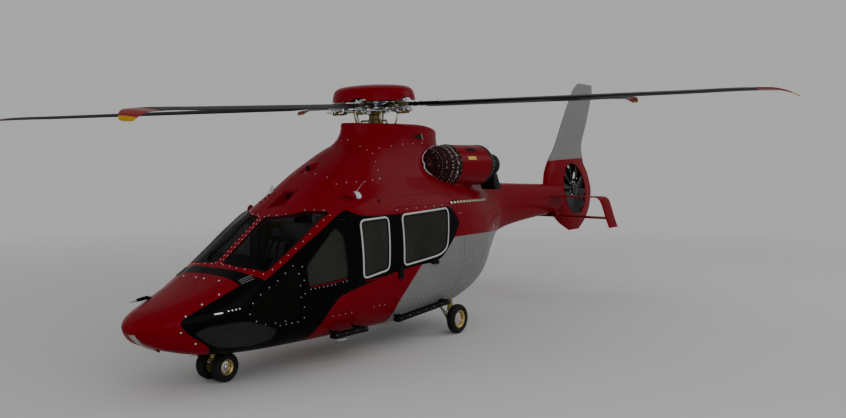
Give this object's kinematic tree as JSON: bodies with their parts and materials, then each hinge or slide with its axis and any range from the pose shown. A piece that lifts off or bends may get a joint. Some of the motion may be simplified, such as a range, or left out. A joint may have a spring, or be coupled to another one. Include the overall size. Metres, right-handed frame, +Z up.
{
  "type": "twin-engined rescue helicopter",
  "caption": "Twin-engined rescue helicopter with a bladed main rotor under a domed cap, a canted ducted tail fan, a biplane stabiliser and wheeled landing gear.",
  "frame": {"origin": "centre of the lower face of the hook plate under the belly, below the point where the rotor plane meets the mast; the ground is 0.365 m below it", "axes": "+X forward, towards the nose; +Y to port; +Z up"},
  "size_m": [15.4165, 12.2468, 4.8927],
  "materials": {
    "red_paint": "gloss",
    "white_paint": "gloss",
    "black_paint": "gloss",
    "tinted_glass": "polished",
    "grey_metal": "satin",
    "bright_steel": "satin",
    "dark_steel": "matt",
    "dark_plastic": "matt",
    "seat_fabric": "matt",
    "tyre": "matt"
  },
  "bodies": {
    "airframe": {"cabin_shell": "red_paint", "upper_cowling": "red_paint", "nose_cone": "red_paint", "tail_boom": "red_paint", "fin_and_duct": "white_paint", "fan_stator": "grey_metal", "stabiliser": "red_paint", "powerplant": "grey_metal", "intake_screen_port": "black_paint", "intake_screen_starboard": "black_paint", "exhaust_port": "dark_steel", "exhaust_starboard": "dark_steel", "cabin_door_port": "red_paint", "cabin_door_starboard": "red_paint", "cabin_door_glass_port": "tinted_glass", "cabin_door_glass_starboard": "tinted_glass", "side_glass_port": "tinted_glass", "side_glass_starboard": "tinted_glass", "quarter_glass_port": "tinted_glass", "quarter_glass_starboard": "tinted_glass", "chin_glass_port": "tinted_glass", "chin_glass_starboard": "tinted_glass", "windscreen_port": "tinted_glass", "windscreen_starboard": "tinted_glass", "cabin_floor": "grey_metal", "instrument_panel": "dark_plastic", "pilot_seat_port": "seat_fabric", "pilot_seat_starboard": "seat_fabric", "cabin_bench": "seat_fabric", "front_step_port": "black_paint", "front_step_starboard": "black_paint", "rear_step_port": "black_paint", "rear_step_starboard": "black_paint", "nose_leg": "grey_metal", "main_leg_port": "grey_metal", "main_leg_starboard": "grey_metal", "hook_plate": "grey_metal"},
    "main_rotor": {"rotor_mast": "bright_steel", "rotor_hub": "bright_steel", "rotor_cap": "red_paint", "rotor_blade_1": "black_paint", "rotor_blade_2": "black_paint", "rotor_blade_3": "black_paint", "rotor_blade_4": "black_paint", "rotor_blade_5": "black_paint"},
    "fan_rotor": {"tail_fan": "grey_metal"},
    "nose_steering": {"nose_fork": "bright_steel"},
    "nose_wheels": {"nose_rims": "bright_steel", "nose_tyre_port": "tyre", "nose_tyre_starboard": "tyre"},
    "main_wheel_port": {"main_rim_port": "bright_steel", "main_tyre_port": "tyre"},
    "main_wheel_starboard": {"main_rim_starboard": "bright_steel", "main_tyre_starboard": "tyre"},
    "crew_door_port": {"cockpit_door_port": "black_paint", "cockpit_door_glass_port": "tinted_glass"},
    "crew_door_starboard": {"cockpit_door_starboard": "black_paint", "cockpit_door_glass_starboard": "tinted_glass"}
  },
  "joints": [
    {"name": "main_rotor_turn", "type": "hinge", "parent": "airframe", "child": "main_rotor", "pos_m": [0, 0, 3.595], "axis": [0.0628, 0, 0.998], "continuous": true},
    {"name": "tail_fan_turn", "type": "hinge", "parent": "airframe", "child": "fan_rotor", "pos_m": [-7.19, 0.05, 1.955], "axis": [0, 0.9877, 0.1564], "continuous": true},
    {"name": "nose_gear_steering", "type": "hinge", "parent": "airframe", "child": "nose_steering", "pos_m": [3.49, 0, -0.155], "axis": [0, 0, 1], "range_deg": [-60, 60]},
    {"name": "nose_wheels_roll", "type": "hinge", "parent": "nose_steering", "child": "nose_wheels", "pos_m": [3.43, 0, -0.155], "axis": [0, 1, 0], "continuous": true},
    {"name": "main_wheel_port_roll", "type": "hinge", "parent": "airframe", "child": "main_wheel_port", "pos_m": [-1.18, 0.9, -0.11], "axis": [0, 1, 0], "continuous": true},
    {"name": "main_wheel_starboard_roll", "type": "hinge", "parent": "airframe", "child": "main_wheel_starboard", "pos_m": [-1.18, -0.9, -0.11], "axis": [0, 1, 0], "continuous": true},
    {"name": "crew_door_port_swing", "type": "hinge", "parent": "airframe", "child": "crew_door_port", "pos_m": [2.734, 0.99249, 0.865], "axis": [0, 0, 1], "range_deg": [-70, 0]},
    {"name": "crew_door_starboard_swing", "type": "hinge", "parent": "airframe", "child": "crew_door_starboard", "pos_m": [2.734, -0.99249, 0.865], "axis": [0, 0, 1], "range_deg": [0, 70]}
  ]
}
